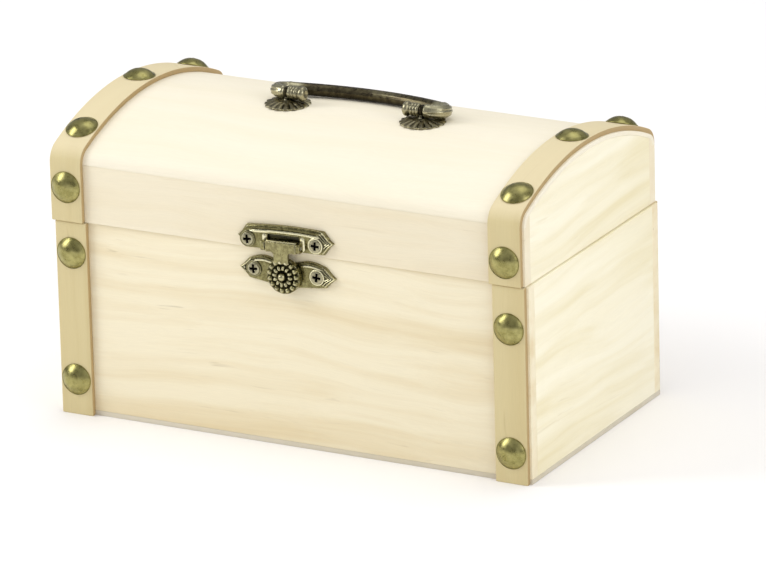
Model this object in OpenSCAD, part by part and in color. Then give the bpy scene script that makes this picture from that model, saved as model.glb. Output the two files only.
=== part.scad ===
// Wooden money box in the form of a small domed chest.
// X runs along the width, -Y is the front with the latch, +Z is up.
// The origin is the middle of the underside, where the box stands.

/* [Box] */
// Width over the end panels
box_w = 180; // [160:1:220]
// Depth over the front and back panels
box_d = 96.6; // [90:0.1:110]
// Height of the body, from the underside to the parting line
body_h = 69.2; // [60:0.1:90]
// Thickness of the plywood base
base_t = 1.8; // [1.5:0.1:3]
// Thickness of the front and back panels, on the body and on the lid
panel_t = 4; // [4:0.1:5]
// Thickness of the end panels, on the body and on the lid
end_t = 9; // [8.5:0.1:12]

/* [Lid] */
// Height of the lid's straight sides above the parting line
lid_side_h = 20.6; // [18:0.1:26]
// Height of the crown above the lid's straight sides
crown_rise = 14.6; // [12:0.1:18]
// Radius of the shoulders between the straight sides and the crown
shoulder_r = 5; // [3:0.1:8]
// Thickness of the bent plywood sheet over the lid
sheet_t = 1.5; // [1.2:0.1:2]
// How much deeper the lid is than the body, all of it at the front
lid_overhang = 0.8; // [0:0.1:1]
// How far the lid sits to one side of the body
lid_x = -0.8; // [-1:0.1:1]
// Gap at the parting line
lid_gap = 0.3; // [0.2:0.1:0.5]

/* [Coin slot] */
// Length of the slot across the box
slot_l = 36; // [32:1:44]
// Width of the slot
slot_w = 5; // [4.5:0.1:6]
// How far the slot lies behind the middle of the lid
slot_y = 30.4; // [28:0.1:32]

/* [Straps and nails] */
// Width of the wooden straps
strap_w = 12; // [10:0.1:13]
// Thickness of the wooden straps
strap_t = 1.8; // [1.2:0.1:2]
// Distance from a strap's outer edge to the end of the box
strap_inset = 0.8; // [0.5:0.1:2]
// Diameter of the nail heads
nail_d = 11.2; // [9:0.1:11.5]
// Height of the nail heads
nail_h = 2.7; // [2:0.1:3]
// Length of the nail shanks below the head
nail_l = 9; // [8:0.5:10]

/* [Latch] */
// Place of the hasp's centre line along the front
latch_x = -0.8; // [-5:0.1:5]
// Reach of the two latch plates to the left of the hasp
plate_left = 17.4; // [16:0.1:20]
// Reach of the two latch plates to the right of the hasp
plate_right = 19.2; // [16:0.1:20]
// Thickness of the latch plates
plate_t = 1; // [0.8:0.1:1.2]
// How far the upper plate and the hasp lean, in degrees
latch_tilt = 1.7; // [0:0.1:2]
// Radius of the medallion at the end of the hasp
medallion_r = 6.2; // [5.5:0.1:6.5]

/* [Handle] */
// Place of the handle's middle along the lid
handle_x = 1.2; // [-5:0.1:5]
// Distance from the handle's middle to each post
post_x = 25.8; // [24:0.1:30]
// Height of the handle's pivot above the crown
pivot_h = 4.2; // [4:0.1:5]
// Distance from the pivot to the middle of the grip
bail_reach = 15.6; // [15:0.1:16]
// Radius of the elbows at the ends of the grip
elbow_r = 4.6; // [4:0.1:5]
// Radius of the grip bar
bail_r = 2.2; // [2:0.1:2.3]
// Radius of the rosettes under the posts
rosette_r = 8; // [7:0.1:9]

/* [Hinges] */
// Distance from the middle of the box to each hinge
hinge_x = 45; // [35:1:55]
// Width of the hinge leaves
leaf_w = 18; // [16:1:24]
// Height of each hinge leaf
leaf_h = 12; // [11:0.5:14]

/* [Hidden] */
$fn = 64;
// How far joined shapes run into each other, and how far cuts run past a face.
lap = 0.2;
cut = 1;

// Body: half sizes and the straps' places.
half_w = box_w / 2;
half_d = box_d / 2;
strap_x = half_w - strap_inset - strap_w / 2;

// Lid profile in Y and Z: straight sides, two shoulder arcs and one crown arc that they touch.
lid_y = -lid_overhang / 2;
lid_half_d = half_d + lid_overhang / 2;
lid_z = body_h + lid_gap;
shoulder_z = body_h + lid_side_h;
crown_z = shoulder_z + crown_rise;
shoulder_y = lid_half_d - shoulder_r;
arc_rise = crown_rise - shoulder_r;
crown_r = shoulder_r + (shoulder_y * shoulder_y + arc_rise * arc_rise) / (2 * arc_rise);
crown_cz = crown_z - crown_r;

// Nails: shank radius, the clearance of the holes, and where each strap is nailed.
nail_shank_r = 0.7;
hole_gap = 0.03;
left_body_nail_z = [12.7, 58.2];
right_body_nail_z = [10.8, 54.4];
left_lid_nail_z = 81.8;
right_lid_nail_z = 77.7;
left_dome_nail_angles = [-20.1, 0.9, 20.4];
right_dome_nail_angles = [-21.2, 0.3, 19.9];

// Latch: the faces that the plates lie on, the hasp's pin and the two window sides.
body_front_y = -half_d;
lid_front_y = -half_d - lid_overhang;
hasp_plate_z = [body_h + 1, body_h + 5.1, body_h + 9.2];
keeper_plate_z = [body_h - 10.4, body_h - 6.9, body_h - 3.3];
plate_point = 3.7;
point_waist = [1.5, 1.2];
hasp_brow = 0.6;
keeper_brow = 1.4;
keeper_brow_start = 3;
keeper_sag = 1.3;
brow_steps = 10;
rim_t = 1.8;
rim_h = 1.3;
window_half = 6;
window_top = body_h + 5.3;
pin_y = lid_front_y - 2.3;
pin_z = body_h + 2.9;
latch_pin_r = 0.6;
ear_w = 1.4;
ear_r = 1.6;
barrel_r = 1.9;
hasp_half = window_half - 0.25;
neck_half = 2.7;
neck_t = 1.2;
neck_root = 1.5;
medallion_z = body_h - 7.5;
medallion_drop = pin_z - medallion_z;
medallion_x = latch_x + medallion_drop * sin(latch_tilt);
medallion_back_y = body_front_y - plate_t - 0.5;
medallion_t = 2.8;
petal_n = 12;
petal_r = 1.5;
petal_step = 0.4;
heart_r = 3.65;
heart_step = 0.3;
ball_r = 1.3;
belly_r = 6;
boss_t = 0.15;
stud_r = 1.5;
stud_out = 1.4;
stud_gap = 0.4;
latch_screw_r = 2.2;
small_shank_r = 0.6;
small_head_h = 0.8;
screw_depth = 3;
hasp_screw_x = [-13.6, 12.2];
hasp_screw_z = body_h + 4;
keeper_screw_x = [-12, 12];
keeper_screw_z = body_h - 7;

// Handle: the pivot, the journals in the posts' eyes, and the bow between the elbows.
handle_y = -1.3;
pivot_z = crown_z + pivot_h;
post_r = 1.3;
eye_t = 1.2;
eye_r = 2;
post_neck = 3;
journal_r = 1.2;
bore_gap = 0.05;
side_gap = 0.15;
ferrule_l = 0.7;
rosette_h = 1.6;
rosette_rim = 0.4;
ferrule_x = post_x + eye_t / 2 + side_gap;
journal_end = ferrule_x + ferrule_l;
bow_r = (pow(journal_end, 2) + pow(bail_reach - elbow_r, 2) - pow(elbow_r, 2))
    / (2 * (bail_reach - 2 * elbow_r));
bow_cy = bail_reach - bow_r;
bow_start = atan2(elbow_r - bow_cy, journal_end);
rest_y = handle_y + bail_reach - lid_y;
rest_surface_z = crown_cz + sqrt(crown_r * crown_r - rest_y * rest_y);
bail_lift = 0.25;
rest_angle = asin((rest_surface_z + bail_r + bail_lift - pivot_z) / bail_reach);
bead_r = bail_r + 0.15;
bead_w = 1.2;
cap_l = 6.3;
cap_out = post_x - eye_t / 2 - side_gap;
cap_end_t = 0.9;
washer_r = 3.5;
washer_t = 0.8;
nut_r = 2.7;
nut_t = 1.8;
washer_top = crown_z - sheet_t - 0.12;
post_end = washer_top - washer_t - nut_t - 0.5;

// Hinges: the axis lies just outside the straps, level with the parting line.
hinge_y = half_d + 2.3;
knuckle_r = 2;
hinge_pin_r = 0.9;
leaf_t = 0.8;
leaf_clear = 2.3;
knuckle_gap = 0.15;
leaf_screw_r = 1.6;
leaf_screw_x = 5.6;
leaf_screw_z = 8;

WOOD = "#f1e6c8";
END_WOOD = "#f4ecd2";
STRAP_WOOD = "#dcc695";
BRASS = "#8a7a3a";
BRONZE = "#6b6142";
STEEL = "#9a9a94";

// ---- Helpers -------------------------------------------------------------------------------

// Turns a shape drawn in Y and Z (as 2D x and y) into a length of it along X.
module along_x(x0, x1) {
    translate([x0, 0, 0]) rotate([90, 0, 90]) linear_extrude(x1 - x0) children();
}

// Turns an outline drawn in X and Z into a plate whose back lies at y and which faces forward.
module facing_front(y, t) {
    translate([0, y, 0]) rotate([90, 0, 0]) linear_extrude(t) children();
}

// A cylinder along X.
module rod_x(r, x0, x1) {
    translate([x0, 0, 0]) rotate([0, 90, 0]) cylinder(r = r, h = x1 - x0);
}

// Points +Z outward from the front or the back of the box.
module face_front() { rotate([90, 0, 0]) children(); }
module face_back() { rotate([-90, 0, 0]) children(); }

// A spherical cap of radius r and height h that stands on Z = 0.
module cap(r, h) {
    ball = (r * r + h * h) / (2 * h);
    intersection() {
        translate([0, 0, h - ball]) sphere(r = ball, $fn = 180);
        cylinder(r = r + 1, h = h + 1);
    }
}

// The lid's outline, moved outward by grow, from the parting line to the crown.
module lid_outline(grow = 0) {
    wing = lid_half_d + grow;
    ray = 2 * crown_r / (crown_r - shoulder_r);
    translate([lid_y, 0]) {
        translate([-wing, lid_z]) square([2 * wing, shoulder_z - lid_z]);
        intersection() {
            translate([0, crown_cz]) circle(r = crown_r + grow, $fn = 200);
            polygon([
                [-shoulder_y, shoulder_z], [shoulder_y, shoulder_z],
                [ray * shoulder_y, crown_cz + ray * (shoulder_z - crown_cz)],
                [-ray * shoulder_y, crown_cz + ray * (shoulder_z - crown_cz)]
            ]);
        }
        for (side = [-1, 1]) {
            translate([side * shoulder_y, shoulder_z]) circle(r = shoulder_r + grow);
        }
    }
}

// What is left inside the sheet: full depth up to the shoulders, one sheet thickness less above.
module lid_core_outline() {
    intersection() {
        union() {
            lid_outline(-sheet_t);
            translate([lid_y - lid_half_d, lid_z]) square([2 * lid_half_d, shoulder_z - lid_z]);
        }
        translate([lid_y - lid_half_d, lid_z]) square([2 * lid_half_d, crown_z]);
    }
}

module nail_shank() {
    translate([0, 0, -nail_l]) cylinder(r = nail_shank_r, h = nail_l + lap);
}

module nail_hole() {
    translate([0, 0, -nail_l - lap]) cylinder(r = nail_shank_r + hole_gap, h = nail_l + lap + cut);
}

module nail() {
    cap(nail_d / 2, nail_h);
    nail_shank();
}

// Puts a child at each nail of one body strap, on the front or on the back.
module at_body_nails(side, heights) {
    for (z = heights) translate([side * strap_x, 0, z]) children();
}

module at_front_nails() {
    for (side = [-1, 1]) {
        at_body_nails(side, side < 0 ? left_body_nail_z : right_body_nail_z)
            translate([0, -half_d - strap_t, 0]) face_front() children();
    }
}

module at_back_nails() {
    for (side = [-1, 1]) {
        at_body_nails(side, side < 0 ? left_body_nail_z : right_body_nail_z)
            translate([0, half_d + strap_t, 0]) face_back() children();
    }
}

// Puts a child at each nail of one lid strap: front, over the dome, back.
module at_lid_nails(side) {
    angles = side < 0 ? left_dome_nail_angles : right_dome_nail_angles;
    z = side < 0 ? left_lid_nail_z : right_lid_nail_z;
    x = lid_x + side * strap_x;
    translate([x, lid_front_y - strap_t, z]) face_front() children();
    translate([x, half_d + strap_t, z]) face_back() children();
    for (a = angles) {
        translate([x, lid_y, crown_cz]) rotate([-a, 0, 0]) translate([0, 0, crown_r + strap_t])
            children();
    }
}

module lid_nail_holes() {
    for (side = [-1, 1]) at_lid_nails(side) nail_hole();
}

// Small screws: a domed head that stands on Z = 0 and a plain shank.
module small_screw(head_r, length) {
    cap(head_r, small_head_h);
    translate([0, 0, -length]) cylinder(r = small_shank_r, h = length + lap);
}

module small_hole(length) {
    translate([0, 0, -length - lap]) cylinder(r = small_shank_r + hole_gap, h = length + lap + cut);
}

// Leans the upper plate and the hasp about the middle of the hasp's pin.
module lean() {
    translate([latch_x, 0, pin_z]) rotate([0, -latch_tilt, 0]) translate([-latch_x, 0, -pin_z])
        children();
}

module at_hasp_screws(y) {
    lean() for (x = hasp_screw_x) translate([latch_x + x, y, hasp_screw_z]) face_front() children();
}

module at_keeper_screws(y) {
    for (x = keeper_screw_x) translate([latch_x + x, y, keeper_screw_z]) face_front() children();
}

module at_leaf_screws(up) {
    for (hinge = [-1, 1], side = [-1, 1]) {
        translate([hinge * hinge_x + side * leaf_screw_x, half_d + leaf_t, body_h + up * leaf_screw_z])
            face_back() children();
    }
}

// ---- Body ----------------------------------------------------------------------------------

module base_plate() {
    color(WOOD) translate([-half_w, -half_d, 0]) cube([box_w, box_d, base_t]);
}

module long_panel() {
    cube([box_w, panel_t, body_h - base_t]);
}

module front_panel() {
    color(WOOD) difference() {
        translate([-half_w, -half_d, base_t]) long_panel();
        at_front_nails() nail_hole();
        at_keeper_screws(body_front_y - plate_t) small_hole(plate_t + screw_depth);
        translate([medallion_x, body_front_y, medallion_z]) face_front() small_hole(screw_depth);
    }
}

module back_panel() {
    color(WOOD) difference() {
        translate([-half_w, half_d - panel_t, base_t]) long_panel();
        at_back_nails() nail_hole();
        at_leaf_screws(-1) small_hole(leaf_t + screw_depth);
    }
}

module end_panel(side) {
    depth = box_d - 2 * panel_t;
    color(END_WOOD) difference() {
        translate([side > 0 ? half_w - end_t : -half_w, -depth / 2, base_t])
            cube([end_t, depth, body_h - base_t]);
        at_front_nails() nail_hole();
        at_back_nails() nail_hole();
    }
}

module left_end_panel() { end_panel(-1); }
module right_end_panel() { end_panel(1); }

module body_strap(side, front) {
    y = front ? -half_d - strap_t : half_d;
    color(STRAP_WOOD) difference() {
        translate([side * strap_x - strap_w / 2, y, 0]) cube([strap_w, strap_t, body_h]);
        if (front) at_front_nails() nail_hole();
        if (!front) at_back_nails() nail_hole();
    }
}

module front_left_strap() { body_strap(-1, true); }
module front_right_strap() { body_strap(1, true); }
module back_left_strap() { body_strap(-1, false); }
module back_right_strap() { body_strap(1, false); }

module body_front_nails() { color(BRASS) at_front_nails() nail(); }
module body_back_nails() { color(BRASS) at_back_nails() nail(); }

// ---- Lid -----------------------------------------------------------------------------------

module lid_rail(y0) {
    along_x(lid_x - half_w, lid_x + half_w) intersection() {
        lid_core_outline();
        translate([y0, lid_z]) square([panel_t, crown_z]);
    }
}

module lid_front_rail() {
    color(WOOD) difference() {
        lid_rail(lid_front_y);
        lid_nail_holes();
        at_hasp_screws(lid_front_y - plate_t) small_hole(plate_t + screw_depth);
    }
}

module lid_back_rail() {
    color(WOOD) difference() {
        lid_rail(half_d - panel_t);
        lid_nail_holes();
        at_leaf_screws(1) small_hole(leaf_t + screw_depth);
    }
}

module lid_end(side) {
    x = lid_x + (side > 0 ? half_w - end_t : -half_w);
    color(END_WOOD) difference() {
        along_x(x, x + end_t) intersection() {
            lid_core_outline();
            translate([lid_front_y + panel_t, lid_z])
                square([2 * (lid_half_d - panel_t), crown_z]);
        }
        lid_nail_holes();
    }
}

module lid_left_end() { lid_end(-1); }
module lid_right_end() { lid_end(1); }

module coin_slot() {
    translate([lid_x - slot_l / 2, lid_y + slot_y - slot_w / 2, shoulder_z])
        cube([slot_l, slot_w, crown_rise + cut]);
}

module dome_sheet() {
    color(WOOD) difference() {
        along_x(lid_x - half_w, lid_x + half_w) intersection() {
            difference() {
                lid_outline();
                lid_outline(-sheet_t);
            }
            translate([lid_y - lid_half_d, shoulder_z]) square([2 * lid_half_d, crown_rise + 1]);
        }
        coin_slot();
        lid_nail_holes();
        at_posts() translate([0, 0, -crown_rise]) cylinder(r = post_r + bore_gap, h = crown_rise + cut);
    }
}

module lid_strap(side) {
    x = lid_x + side * strap_x;
    color(STRAP_WOOD) difference() {
        along_x(x - strap_w / 2, x + strap_w / 2) difference() {
            lid_outline(strap_t);
            lid_outline();
            translate([lid_y - lid_half_d, lid_z - 1]) square([2 * lid_half_d, lid_side_h]);
        }
        lid_nail_holes();
    }
}

module lid_left_strap() { lid_strap(-1); }
module lid_right_strap() { lid_strap(1); }

module lid_left_nails() { color(BRASS) at_lid_nails(-1) nail(); }
module lid_right_nails() { color(BRASS) at_lid_nails(1) nail(); }

// ---- Latch ---------------------------------------------------------------------------------

// A pointed end with a waist behind its tip, from its low corner to its high one; side is -1 or 1.
function plate_end(side, levels) =
    let (x = latch_x + (side < 0 ? -plate_left : plate_right), tip = levels[1])
    [
        [x - side * plate_point, levels[0]], [x - side * point_waist[0], tip - point_waist[1]], [x, tip],
        [x - side * point_waist[0], tip + point_waist[1]], [x - side * plate_point, levels[2]]
    ];

// A brow between two places: a low arch of the given rise, without its two ends.
function brow(x0, x1, z, rise) =
    [for (i = [1 : brow_steps - 1]) let (t = i / brow_steps) [x0 + (x1 - x0) * t, z + rise * sin(180 * t)]];

function backward(list) = [for (i = [len(list) - 1 : -1 : 0]) list[i]];

rim_x0 = latch_x - plate_left + plate_point;
rim_x1 = latch_x + plate_right - plate_point;

module hasp_plate_outline() {
    top = hasp_plate_z[2];
    polygon(concat(
        plate_end(-1, hasp_plate_z), brow(rim_x0, rim_x1, top, hasp_brow),
        backward(plate_end(1, hasp_plate_z))
    ));
}

// The rim along the top of the upper plate.
module hasp_rim_outline() {
    top = hasp_plate_z[2];
    edge = brow(rim_x0, rim_x1, top, hasp_brow);
    polygon(concat([[rim_x0, top - rim_h], [rim_x0, top]], edge, [[rim_x1, top], [rim_x1, top - rim_h]]));
}

module keeper_outline() {
    low = keeper_plate_z[0];
    top = keeper_plate_z[2];
    polygon(concat(
        plate_end(-1, keeper_plate_z),
        brow(rim_x0, latch_x - keeper_brow_start, top, keeper_brow),
        brow(latch_x + keeper_brow_start, rim_x1, top, keeper_brow),
        backward(plate_end(1, keeper_plate_z)),
        [[latch_x + belly_r, low - keeper_sag], [latch_x - belly_r, low - keeper_sag]]
    ));
}

module at_latch_pin() { translate([latch_x, pin_y, pin_z]) rotate([0, -latch_tilt, 0]) children(); }

module hasp_plate() {
    color(BRONZE) difference() {
        union() {
            lean() {
                facing_front(lid_front_y, plate_t) difference() {
                    hasp_plate_outline();
                    translate([latch_x - window_half, 0]) square([2 * window_half, window_top]);
                }
                facing_front(lid_front_y, rim_t) hasp_rim_outline();
            }
            at_latch_pin() for (x = [-window_half - ear_w, window_half]) {
                rod_x(ear_r, x, x + ear_w);
                translate([x, 0, -ear_r]) cube([ear_w, lid_front_y - pin_y, 2 * ear_r]);
            }
        }
        at_latch_pin()
            rod_x(latch_pin_r + hole_gap, -window_half - ear_w - cut, window_half + ear_w + cut);
        at_hasp_screws(lid_front_y - plate_t) small_hole(plate_t);
    }
}

module hasp_plate_screws() {
    color(BRONZE) at_hasp_screws(lid_front_y - plate_t)
        small_screw(latch_screw_r, plate_t + screw_depth);
}

module hasp_pin() {
    color(STEEL) at_latch_pin() rod_x(latch_pin_r, -window_half - ear_w, window_half + ear_w);
}

module keeper_plate() {
    color(BRONZE) difference() {
        union() {
            facing_front(body_front_y, plate_t) keeper_outline();
            translate([medallion_x, body_front_y, medallion_z]) face_front()
                cylinder(r = belly_r, h = plate_t + boss_t);
        }
        at_keeper_screws(body_front_y - plate_t) small_hole(plate_t);
        translate([medallion_x, body_front_y - plate_t, medallion_z]) face_front() small_hole(plate_t);
    }
}

module keeper_stud() {
    color(BRONZE) translate([medallion_x, body_front_y, medallion_z]) face_front() {
        translate([0, 0, -screw_depth])
            cylinder(r = small_shank_r, h = screw_depth + plate_t + boss_t + lap);
        translate([0, 0, plate_t + boss_t]) cylinder(r = stud_r, h = stud_out - boss_t);
    }
}

module keeper_screws() {
    color(BRONZE) at_keeper_screws(body_front_y - plate_t)
        small_screw(latch_screw_r, plate_t + screw_depth);
}

// The hasp: a barrel on the pin, a neck, and a flower medallion that snaps over the stud.
module hasp() {
    neck_l = medallion_drop - medallion_r + neck_root;
    medallion_y = medallion_back_y - pin_y;
    color(BRONZE) at_latch_pin() difference() {
        union() {
            rod_x(barrel_r, -hasp_half, hasp_half);
            translate([-neck_half, -lap - neck_t, -neck_l]) cube([2 * neck_half, neck_t, neck_l]);
            translate([0, medallion_y, -medallion_drop]) face_front() {
                cylinder(r = medallion_r - petal_r / 2, h = medallion_t);
                for (i = [0 : petal_n - 1]) {
                    rotate([0, 0, i * 360 / petal_n]) translate([medallion_r - petal_r, 0, 0])
                        cylinder(r = petal_r, h = medallion_t - petal_step);
                }
                cylinder(r = heart_r, h = medallion_t + heart_step);
                translate([0, 0, medallion_t]) sphere(r = ball_r);
            }
        }
        rod_x(latch_pin_r + bore_gap, -hasp_half - cut, hasp_half + cut);
        translate([0, medallion_y, -medallion_drop]) face_front()
            translate([0, 0, -cut]) cylinder(r = stud_r + stud_gap, h = stud_out + cut);
    }
}

// ---- Handle --------------------------------------------------------------------------------

module at_post(side) {
    translate([handle_x + side * post_x, handle_y, crown_z]) children();
}

module at_posts() {
    for (side = [-1, 1]) at_post(side) children();
}

module rosette(side) {
    color(BRONZE) at_post(side) difference() {
        union() {
            cylinder(r = rosette_r, h = rosette_rim);
            translate([0, 0, rosette_rim]) cap(rosette_r, rosette_h - rosette_rim);
        }
        translate([0, 0, -cut]) cylinder(r = post_r + bore_gap, h = rosette_h + 2 * cut);
    }
}

module left_rosette() { rosette(-1); }
module right_rosette() { rosette(1); }

module handle_post(side) {
    color(BRONZE) at_post(side) difference() {
        union() {
            translate([0, 0, post_end - crown_z])
                cylinder(r = post_r, h = crown_z - post_end + rosette_h);
            translate([-eye_t / 2, -post_neck / 2, rosette_h])
                cube([eye_t, post_neck, pivot_h - rosette_h]);
            translate([0, 0, pivot_h]) rod_x(eye_r, -eye_t / 2, eye_t / 2);
        }
        translate([0, 0, pivot_h]) rod_x(journal_r + bore_gap, -eye_t, eye_t);
    }
}

module left_handle_post() { handle_post(-1); }
module right_handle_post() { handle_post(1); }

module handle_washers() {
    color(STEEL) at_posts() translate([0, 0, washer_top - washer_t - crown_z]) difference() {
        cylinder(r = washer_r, h = washer_t);
        translate([0, 0, -cut]) cylinder(r = post_r + bore_gap, h = washer_t + 2 * cut);
    }
}

module handle_nuts() {
    color(STEEL) at_posts() translate([0, 0, washer_top - washer_t - nut_t - crown_z]) difference() {
        cylinder(r = nut_r, h = nut_t, $fn = 6);
        translate([0, 0, -cut]) cylinder(r = post_r + hole_gap, h = nut_t + 2 * cut);
    }
}

// Places the bail's own plane, where +Y runs from the pivot to the grip, as it lies at rest.
module bail_frame() {
    translate([handle_x, handle_y, pivot_z]) rotate([rest_angle, 0, 0]) children();
}

// A journal, its ferrule and the elbow, with a bead where the elbow meets the bow.
module bail_end() {
    rod_x(journal_r, cap_out - cap_l + cap_end_t + 0.1, journal_end + lap);
    rod_x(bead_r, ferrule_x, journal_end + bead_w / 2);
    translate([journal_end, elbow_r, 0]) rotate([0, 0, -90])
        rotate_extrude(angle = 90 + bow_start) translate([elbow_r, 0]) circle(r = bail_r);
    translate([0, bow_cy, 0]) rotate([0, 0, bow_start]) translate([bow_r, bead_w / 2, 0])
        rotate([90, 0, 0]) cylinder(r = bead_r, h = bead_w);
}

module handle_bail() {
    color(BRONZE) bail_frame() {
        bail_end();
        mirror([1, 0, 0]) bail_end();
        translate([0, bow_cy, 0]) rotate([0, 0, bow_start])
            rotate_extrude(angle = 180 - 2 * bow_start) translate([bow_r, 0]) circle(r = bail_r);
    }
}

// The collar, neck and knob of a bail cap: radius, and how far each starts and ends from the eye.
cap_rings = [[2.3, 0, 3.4], [1.8, 3, 4], [2.6, 3.9, cap_l]];

// The cap that holds a journal in its eye.
module bail_cap() {
    difference() {
        for (ring = cap_rings) rod_x(ring[0], cap_out - ring[2], cap_out - ring[1]);
        rod_x(journal_r + hole_gap, cap_out - cap_l + cap_end_t, cap_out + cut);
    }
}

module left_bail_cap() { color(BRONZE) bail_frame() mirror([1, 0, 0]) bail_cap(); }
module right_bail_cap() { color(BRONZE) bail_frame() bail_cap(); }

// ---- Hinges --------------------------------------------------------------------------------

// X stretches of the three knuckles of a hinge: the lid's in the middle, the body's at the sides.
lid_knuckle = [[-leaf_w / 6 + knuckle_gap / 2, leaf_w / 6 - knuckle_gap / 2]];
body_knuckles = [
    [-leaf_w / 2, -leaf_w / 6 - knuckle_gap / 2],
    [leaf_w / 6 + knuckle_gap / 2, leaf_w / 2]
];

// One leaf: up is 1 for the lid's leaf and -1 for the body's.
module hinge_leaf(side, up, knuckles, bore) {
    flat_z = up > 0 ? leaf_clear : -leaf_h;
    color(BRONZE) difference() {
        translate([side * hinge_x, 0, body_h]) union() {
            translate([-leaf_w / 2, half_d, flat_z]) cube([leaf_w, leaf_t, leaf_h - leaf_clear]);
            for (k = knuckles) {
                translate([k[0], half_d, up > 0 ? lid_gap : -leaf_clear - lap])
                    cube([k[1] - k[0], leaf_t, leaf_clear - (up > 0 ? lid_gap : 0) + lap]);
                translate([0, hinge_y, 0]) rod_x(knuckle_r, k[0], k[1]);
            }
        }
        translate([side * hinge_x, hinge_y, body_h]) rod_x(bore, -leaf_w, leaf_w);
        at_leaf_screws(up) small_hole(leaf_t);
    }
}

module body_hinge_leaf(side) { hinge_leaf(side, -1, body_knuckles, hinge_pin_r + hole_gap); }
module body_hinge_leaf_left() { body_hinge_leaf(-1); }
module body_hinge_leaf_right() { body_hinge_leaf(1); }

module lid_hinge_leaf(side) { hinge_leaf(side, 1, lid_knuckle, hinge_pin_r + bore_gap); }
module lid_hinge_leaf_left() { lid_hinge_leaf(-1); }
module lid_hinge_leaf_right() { lid_hinge_leaf(1); }

module hinge_pin(side) {
    color(STEEL) translate([side * hinge_x, hinge_y, body_h]) rod_x(hinge_pin_r, -leaf_w / 2, leaf_w / 2);
}

module hinge_pin_left() { hinge_pin(-1); }
module hinge_pin_right() { hinge_pin(1); }

module leaf_screws(up) {
    color(BRONZE) at_leaf_screws(up) small_screw(leaf_screw_r, leaf_t + screw_depth);
}

module body_hinge_screws() { leaf_screws(-1); }
module lid_hinge_screws() { leaf_screws(1); }

// ---- Nodes ---------------------------------------------------------------------------------

base_plate();
front_panel();
back_panel();
left_end_panel();
right_end_panel();
front_left_strap();
front_right_strap();
back_left_strap();
back_right_strap();
body_front_nails();
body_back_nails();
keeper_plate();
keeper_stud();
keeper_screws();
body_hinge_leaf_left();
body_hinge_leaf_right();
hinge_pin_left();
hinge_pin_right();
body_hinge_screws();
lid_front_rail();
lid_back_rail();
lid_left_end();
lid_right_end();
dome_sheet();
lid_left_strap();
lid_right_strap();
lid_left_nails();
lid_right_nails();
hasp_plate();
hasp_plate_screws();
hasp_pin();
lid_hinge_leaf_left();
lid_hinge_leaf_right();
lid_hinge_screws();
left_rosette();
right_rosette();
left_handle_post();
right_handle_post();
handle_washers();
handle_nuts();
hasp();
handle_bail();
left_bail_cap();
right_bail_cap();
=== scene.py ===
"""Looks for the wooden money box: a small domed chest with nailed straps, a latch and a bail handle.

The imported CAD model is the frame. Every CAD node is built again here in a finer mesh, on the same
axes and in the same places: boards with softened edges, a bent sheet and bent straps, and the
nails, the latch, the handle, the hinges and the screws. Forms are in millimetres until they
become pieces.
"""

import math

import bmesh
import bpy
from mathutils import Matrix, Vector, noise


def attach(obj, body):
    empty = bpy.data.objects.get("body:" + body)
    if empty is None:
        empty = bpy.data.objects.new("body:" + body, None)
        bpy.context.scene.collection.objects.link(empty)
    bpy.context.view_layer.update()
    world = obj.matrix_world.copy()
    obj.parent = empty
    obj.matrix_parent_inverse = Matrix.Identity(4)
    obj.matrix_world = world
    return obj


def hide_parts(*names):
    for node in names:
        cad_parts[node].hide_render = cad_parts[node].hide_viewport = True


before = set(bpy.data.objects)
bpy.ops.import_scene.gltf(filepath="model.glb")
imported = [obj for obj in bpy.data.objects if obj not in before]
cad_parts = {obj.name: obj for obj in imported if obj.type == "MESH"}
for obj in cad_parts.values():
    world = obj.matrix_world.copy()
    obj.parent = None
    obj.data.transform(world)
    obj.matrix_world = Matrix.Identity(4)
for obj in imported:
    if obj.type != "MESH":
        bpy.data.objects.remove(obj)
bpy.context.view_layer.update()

MM = 0.001
TURN = 2 * math.pi
SIDES = ((-1, "left"), (1, "right"))

# ---- Driving dimensions of the CAD model, in millimetres ----

HALF_W = 90
HALF_D = 48.3
BODY_H = 69.2
BASE_T = 1.8
PANEL_T = 4
END_T = 9
LID_X = -0.8
LID_Y = -0.4
LID_HALF_D = 48.7
LID_FRONT_Y = -49.1
LID_GAP = 0.3
LID_Z = BODY_H + LID_GAP
SHOULDER_Z = 89.8
SHOULDER_R = 5
SHOULDER_Y = LID_HALF_D - SHOULDER_R
CROWN_RISE = 14.6
CROWN_Z = SHOULDER_Z + CROWN_RISE
CROWN_R = SHOULDER_R + (SHOULDER_Y ** 2 + (CROWN_RISE - SHOULDER_R) ** 2) / (2 * (CROWN_RISE - SHOULDER_R))
CROWN_CZ = CROWN_Z - CROWN_R
SHEET_T = 1.5
SHEET_CLEAR = 0.12
SLOT_L = 36
SLOT_W = 5
SLOT_Y = 30.4
STRAP_X = 83.2
STRAP_W = 12
STRAP_T = 1.8

NAIL_R = 5.6
NAIL_H = 2.7
NAIL_L = 9
SHANK_R = 0.7
BODY_NAIL_Z = {-1: (12.7, 58.2), 1: (10.8, 54.4)}
LID_NAIL_Z = {-1: 81.8, 1: 77.7}
DOME_NAIL_ANGLES = {-1: (-20.1, 0.9, 20.4), 1: (-21.2, 0.3, 19.9)}

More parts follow.
